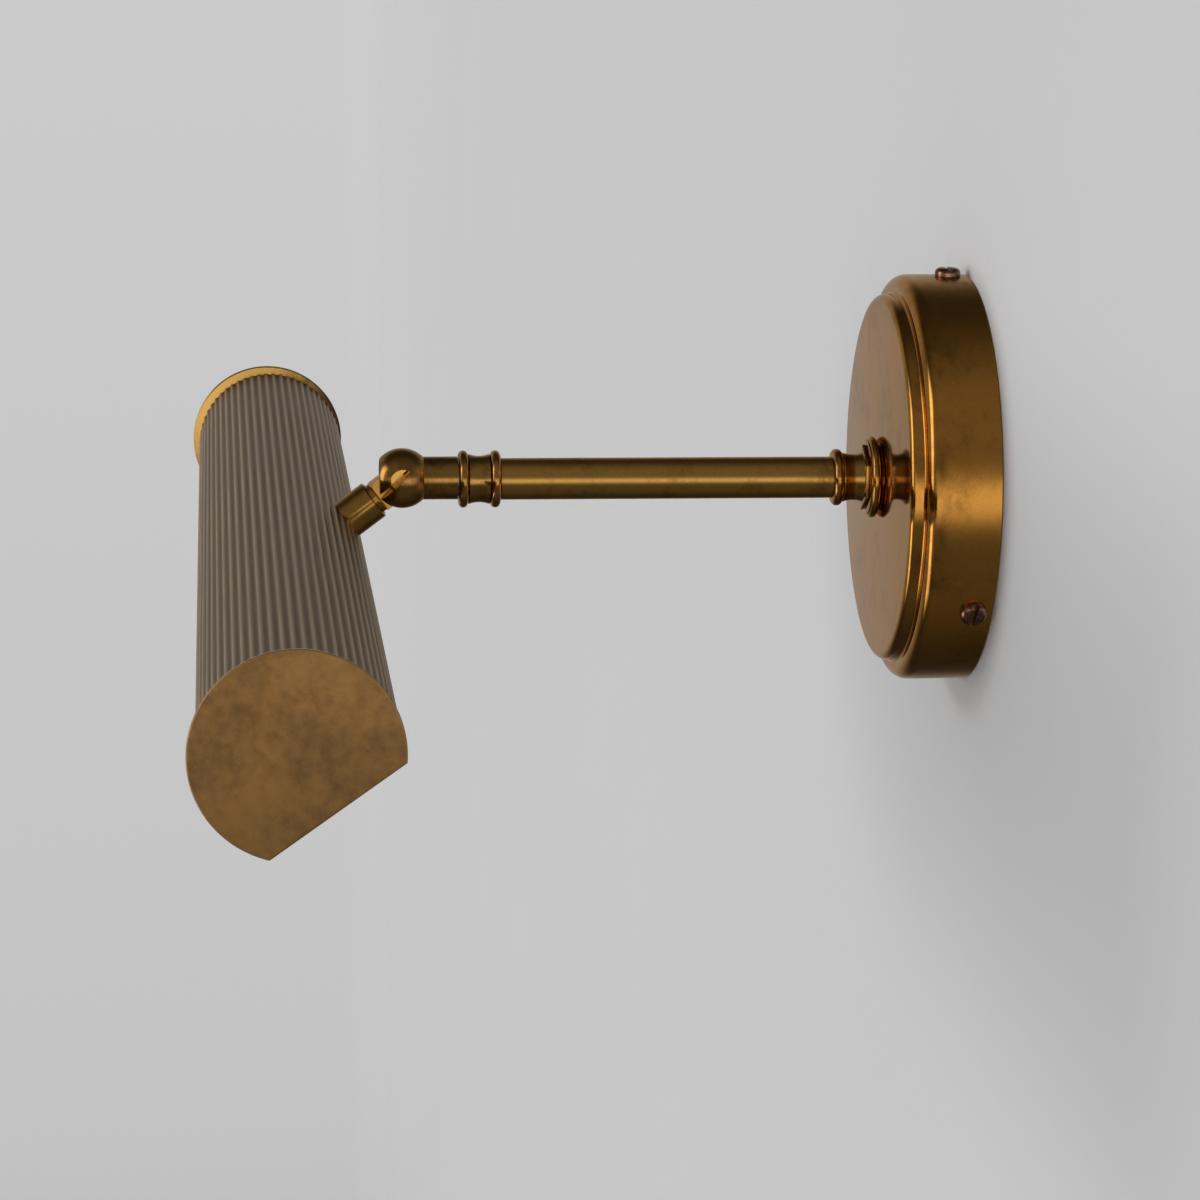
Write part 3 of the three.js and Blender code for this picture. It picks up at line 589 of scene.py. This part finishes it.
# ---- Tongue and sleeve ----
# The tongue has a round end on the pivot and grows into a short stem; a wider sleeve covers the stem's
# threaded end down to the shade. Both are turned brass with a rubbed, glossier lacquer.
STUB_TILT, REACH = 37.4, 36.9
at_stub = at_ball @ Matrix.Rotation(math.radians(STUB_TILT), 4, "X")
stub_brass = aged_brass(
    "stub_brass", (0.42, 0.215, 0.048), (0.19, 0.09, 0.024), 0.5, 0.12, 0.08, 0.005
)
TONGUE_R, TONGUE_HALF, BLADE_END_Y = 3.87, 1.9, -7.4
STEM_Y, STEM_END_Y, STEM_EDGE = -7.1, -8.8, 0.25
tongue = along_x(TONGUE_R, -TONGUE_HALF, TONGUE_HALF, 64)
blade = box_at((-TONGUE_HALF, BLADE_END_Y, -TONGUE_R), (TONGUE_HALF, 0, TONGUE_R))
stem = turned([
    (0, STEM_END_Y), (TONGUE_R, STEM_END_Y), (TONGUE_R, STEM_Y - STEM_EDGE),
    (TONGUE_R - STEM_EDGE, STEM_Y), (0, STEM_Y),
], 64, closed=False)


def joined(*shapes):
    """Several shapes of one piece, in one mesh."""
    whole = bmesh.new()
    for shape in shapes:
        data = bpy.data.meshes.new("joined")
        shape.to_mesh(data)
        shape.free()
        whole.from_mesh(data)
        bpy.data.meshes.remove(data)
    return whole


tongue = joined(tongue, blade, stem)
tongue.transform(at_stub)
finished(
    tongue, "knuckle_tongue", "shade_head", ["knuckle_tongue"], "aged_brass", stub_brass,
    rounding=0.1,
)
SLEEVE_R, SLEEVE_Y, SLEEVE_END_Y, SLEEVE_EDGE = 4.95, -8.56, -17.0, 0.2
sleeve = turned([
    (BORE_R, SLEEVE_Y), (SLEEVE_R - SLEEVE_EDGE, SLEEVE_Y), (SLEEVE_R, SLEEVE_Y - SLEEVE_EDGE),
    (SLEEVE_R, SLEEVE_END_Y), (BORE_R, SLEEVE_END_Y),
])
sleeve.transform(at_stub)
finished(sleeve, "stub_sleeve", "shade_head", ["stub_sleeve"], "aged_brass", stub_brass)


# ---- Shade tube ----
# Thin brass tube, fluted lengthways, cut open down and towards the wall, chemically darkened to a warm
# grey outside and lacquered white inside.
SHADE_TILT, HALF_LENGTH, CAP_THICK = 35.7, 185.0, 1.2
TUBE_R, TUBE_WALL, FLUTE_DEPTH = 20.5, 1.0, 0.42
FLUTES, PITCH, CHORD = 43, 6.0, 12.7
at_shade = at_stub @ Matrix.Translation((0, -REACH, 0))
at_shade = at_shade @ Matrix.Rotation(math.radians(SHADE_TILT - STUB_TILT), 4, "X")


def fluted_bronze():
    """Darkened brass: the crests are coloured a lighter grey-tan and the hollows brown, partly as rubbed
    wear and partly as a painted highlight along the crests and painted shade in the hollows.
    """
    bronze = Finish(bpy.data.materials.new("fluted_bronze"))
    radius = bronze.away((0, 1, 1), tuple(at_shade.to_translation() * -mm))
    crest = bronze.ramp(radius, (TUBE_R - FLUTE_DEPTH) * mm, TUBE_R * mm)
    along = bronze.clouds(0.004, 5, 0.6, bronze.place((0.12, 1, 1)))
    patches = bronze.clouds(0.03, 4)
    worn = bronze.ramp(along * 0.5 + patches * 0.5, 0.3, 0.7)
    dark = bronze.mix(worn, (0.044, 0.030, 0.018), (0.092, 0.067, 0.043))
    light = bronze.mix(worn, (0.26, 0.205, 0.145), (0.42, 0.335, 0.245))
    # lighter crests and darker hollows: partly rubbed wear, partly painted highlight and painted shade of
    # the flutes
    colour = bronze.mix(crest, dark, light)
    fine = bronze.clouds(0.0006, 3, 0.6, bronze.place((0.3, 1, 1)))
    tint = (1.0, 0.80, 0.58, 1)
    rough = worn * 0.1 + 0.36
    return bronze.done(
        colour, rough, 0.55, fine, 0.00002, Specular_Tint=tint, Specular_IOR_Level=0.3
    )


def white_lacquer():
    lacquer = Finish(bpy.data.materials.new("white_lacquer"))
    aged = lacquer.ramp(lacquer.clouds(0.03, 4), 0.35, 0.7)
    colour = lacquer.mix(aged, (0.78, 0.77, 0.73), (0.70, 0.68, 0.62))
    return lacquer.done(colour, aged * 0.1 + 0.3, 0.0, lacquer.clouds(0.002, 3), 0.00004)


fluted, white = fluted_bronze(), white_lacquer()
SPAN = FLUTES * PITCH
first = -90 + (360 - SPAN) / 2
per_flute = 10
tube = bmesh.new()
outer = []
for i in range(FLUTES * per_flute + 1):
    swing = math.cos(math.radians(360 * (i / per_flute)))
    dip = FLUTE_DEPTH * (0.5 - 0.5 * swing) ** 0.6
    a = math.radians(first + PITCH * i / per_flute)
    outer.append(((TUBE_R - dip) * math.cos(a), (TUBE_R - dip) * math.sin(a)))
inner_r = TUBE_R - FLUTE_DEPTH - TUBE_WALL
inner = [math.radians(first + SPAN - SPAN * i / 96) for i in range(97)]
section = outer + [(inner_r * math.cos(a), inner_r * math.sin(a)) for a in inner]
end = HALF_LENGTH - CAP_THICK - 0.05
wall_face = tube.faces.new([tube.verts.new((-end, y, z)) for y, z in section])
grown = bmesh.ops.extrude_face_region(tube, geom=[wall_face])
moved = [v for v in grown["geom"] if isinstance(v, bmesh.types.BMVert)]
bmesh.ops.translate(tube, verts=moved, vec=(2 * end, 0, 0))
bmesh.ops.recalc_face_normals(tube, faces=tube.faces)
for face in tube.faces:
    middle = face.calc_center_median()
    if math.hypot(middle.y, middle.z) < inner_r + 0.3 and abs(face.normal.x) < 0.5:
        face.material_index = 1
tube.transform(at_shade)
finished(
    tube, "shade_tube", "shade_head", ["shade_tube"], "grey_bronze", fluted, white, corner=60
)


# ---- End caps ----
# Flat sheet brass discs, cut off along the opening, with a short skirt inside the tube. The outside is
# mottled gold and brown; the edge and the inner face are polished, and their colour is painted light and
# shade: lighter gold at the front, darker brown towards the wall.
CAP_R, CAP_RISE, CAP_EDGE = 21.6, 1.1, 0.4
SKIRT_R, SKIRT_DEPTH, SKIRT_SHEET = 18.75, 3, 0.9


def mottled_brass():
    """The caps' outer faces, with a lighter rubbed rim."""
    brass = Finish(bpy.data.materials.new("mottled_brass"))
    radius = brass.away((0, 1, 1), tuple(at_shade @ Vector((0, 0, CAP_RISE)) * -mm))
    rim = brass.ramp(radius, (CAP_R - 0.5) * mm, (CAP_R - 0.1) * mm)
    big = brass.clouds(0.017, 5, 0.6)
    small = brass.clouds(0.0032, 6, 0.7)
    age = brass.ramp(big * 0.55 + small * 0.45, 0.36, 0.66)
    colour = brass.mix(age, (0.40, 0.205, 0.06), (0.24, 0.125, 0.042))
    spots = brass.ramp(brass.clouds(0.0014, 4), 0.66, 0.78)
    colour = brass.mix(spots * 0.5, colour, (0.09, 0.05, 0.025))
    colour = brass.mix(rim * 0.5, colour, (0.55, 0.36, 0.17))
    rough = age * 0.12 + 0.46
    return brass.done(colour, rough, 0.72, small, 0.00003)


def rim_painted_shading():
    """The caps' edges and inner faces, polished, with painted light and shade: lighter gold at the front,
    darker brown towards the wall.
    """
    brass = Finish(bpy.data.materials.new("rim_painted_shading"))
    centre = at_shade @ Vector((0, 0, CAP_RISE)) * -mm
    towards_wall = brass.place(shift=tuple(centre), turn=40).part("Y")
    # painted light and shade: the colour and roughness go from lighter gold at the front to darker brown
    # towards the wall
    age = brass.ramp(towards_wall + 0.016 * brass.clouds(0.004, 5), -0.006, 0.016)
    colour = brass.mix(age, (0.56, 0.32, 0.085), (0.085, 0.045, 0.018))
    return brass.done(colour, age * 0.2 + 0.2, 1.0, brass.clouds(0.0015, 4), 0.00003)


cap_brass, rim_brass = mottled_brass(), rim_painted_shading()
for word, side in (("right", 1), ("left", -1)):
    cap = bmesh.new()
    face_out = Matrix.Rotation(math.radians(90), 4, "Y")
    at_end = Matrix.Translation((side * (HALF_LENGTH - CAP_THICK), 0, CAP_RISE)) @ face_out
    bmesh.ops.create_circle(cap, cap_ends=True, segments=160, radius=CAP_R, matrix=at_end)
    bmesh.ops.bisect_plane(
        cap, geom=cap.verts[:] + cap.edges[:] + cap.faces[:], plane_co=(0, 0, -CHORD),
        plane_no=(0, 0, -1), clear_outer=True,
    )
    grown = bmesh.ops.extrude_face_region(cap, geom=cap.faces[:])
    moved = [v for v in grown["geom"] if isinstance(v, bmesh.types.BMVert)]
    bmesh.ops.translate(cap, verts=moved, vec=(side * CAP_THICK, 0, 0))
    bmesh.ops.recalc_face_normals(cap, faces=cap.faces)
    rims = [e for e in cap.edges if abs(e.verts[0].co.x - e.verts[1].co.x) < 0.01]
    bmesh.ops.bevel(
        cap, geom=rims, offset=CAP_EDGE, affect="EDGES", segments=4, profile=0.5, material=-1
    )
    strip = bmesh.new()
    low, high = HALF_LENGTH - CAP_THICK - SKIRT_DEPTH, HALF_LENGTH - CAP_THICK
    inside = SKIRT_R - SKIRT_SHEET
    points = [(low, SKIRT_R), (high, SKIRT_R), (high, inside), (low, inside)]
    sweep = math.radians(SPAN - 8)
    corners = [strip.verts.new((side * x, 0, r)) for x, r in points]
    hoop = strip.faces.new(corners)
    bmesh.ops.rotate(strip, verts=corners, matrix=Matrix.Rotation(-sweep / 2, 3, "X"))
    bmesh.ops.spin(
        strip, geom=[hoop], cent=(0, 0, 0), axis=(1, 0, 0), dvec=(0, 0, 0), angle=sweep, steps=64,
    )
    bmesh.ops.recalc_face_normals(strip, faces=strip.faces)
    for face in cap.faces:
        outwards = face.normal.x * side > 0.99
        if not outwards and face.calc_center_median().x * side < HALF_LENGTH - 0.3:
            face.material_index = 1
    cap = joined(cap, strip)
    cap.transform(at_shade)
    finished(
        cap, f"end_cap_{word}", "shade_head", [f"end_cap_{word}"],
        "aged_brass", cap_brass, rim_brass,
    )


# ---- Lampholders and lamps ----
# Two glazed ceramic holders stand back to back on the bracket's ears, each with a tubular opal lamp whose
# plated screw cap goes into it.
EAR_X, LAMP_RISE, HOLDER_R, HOLDER_LENGTH = 17.0, 2.5, 12.0, 26.0
LAMP_R, LAMP_LENGTH, LAMP_CAP_R = 12.3, 88.0, 6.9


def glazed(name):
    glaze = Finish(bpy.data.materials.new(name))
    tint = glaze.ramp(glaze.clouds(0.012, 4), 0.35, 0.7)
    colour = glaze.mix(tint, (0.84, 0.82, 0.76), (0.74, 0.71, 0.64))
    return glaze.done(colour, tint * 0.08 + 0.14, 0.0, glaze.clouds(0.0015, 3), 0.00003)


def opal(name):
    glass = Finish(bpy.data.materials.new(name))
    haze = glass.ramp(glass.clouds(0.02, 4), 0.35, 0.7)
    colour = glass.mix(haze, (0.86, 0.86, 0.83), (0.78, 0.77, 0.73))
    return glass.done(colour, haze * 0.06 + 0.1, 0.0, glass.clouds(0.004, 2), 0.00002)


ceramic, opal_white = glazed("glazed_ceramic"), opal("opal_glass")
for word, side in (("right", 1), ("left", -1)):
    outwards = Matrix.Rotation(math.radians(-90 * side), 4, "Z")
    at_lamp = at_stub @ Matrix.Translation((side * (EAR_X + 0.3), -REACH, LAMP_RISE)) @ outwards
    holder = turned([
        (2.6, -6), (4, -6), (4, 0), (HOLDER_R - 1.5, 0), *arc(HOLDER_R - 1.5, 1.5, 1.5, -90, 0, 6),
        (HOLDER_R, 9), (HOLDER_R - 0.5, 9.6), (HOLDER_R - 1.2, 10),
        (HOLDER_R - 1.2, HOLDER_LENGTH - 1), *arc(HOLDER_R - 2.2, HOLDER_LENGTH - 1, 1, 0, 90, 5),
        (LAMP_CAP_R + 0.5, HOLDER_LENGTH), (LAMP_CAP_R + 0.5, 5), (2.6, 5),
    ], 64)
    cap_outline = [(0, 6), (2.3, 6), (3, 8), (LAMP_CAP_R - 0.4, 9.5)]
    for thread in range(5):
        cap_outline += arc(LAMP_CAP_R - 0.35, 11.5 + 2.8 * thread, 0.35, -90, 90, 6)
    cap_outline += [(LAMP_CAP_R - 0.2, HOLDER_LENGTH + 1.5), (0, HOLDER_LENGTH + 1.5)]
    lamp_cap = turned(cap_outline, 64, closed=False)
    foot = HOLDER_LENGTH + 1.6
    top = foot + LAMP_LENGTH
    glass = turned([
        (0, foot), (6.6, foot), (6.9, foot + 4), *arc(LAMP_R - 5.5, foot + 15, 5.5, -40, 0, 8),
        *arc(0, top - LAMP_R, LAMP_R, 0, 90, 20),
    ], 64, closed=False)
    for shape, name, slot, material in (
        (holder, "lampholder", "porcelain", ceramic),
        (lamp_cap, "lamp_cap", "zinc_steel", zinc),
        (glass, "lamp_glass", "opal_glass", opal_white),
    ):
        shape.transform(at_lamp)
        name = f"{name}_{word}"
        finished(shape, name, "shade_head", [name], slot, material)
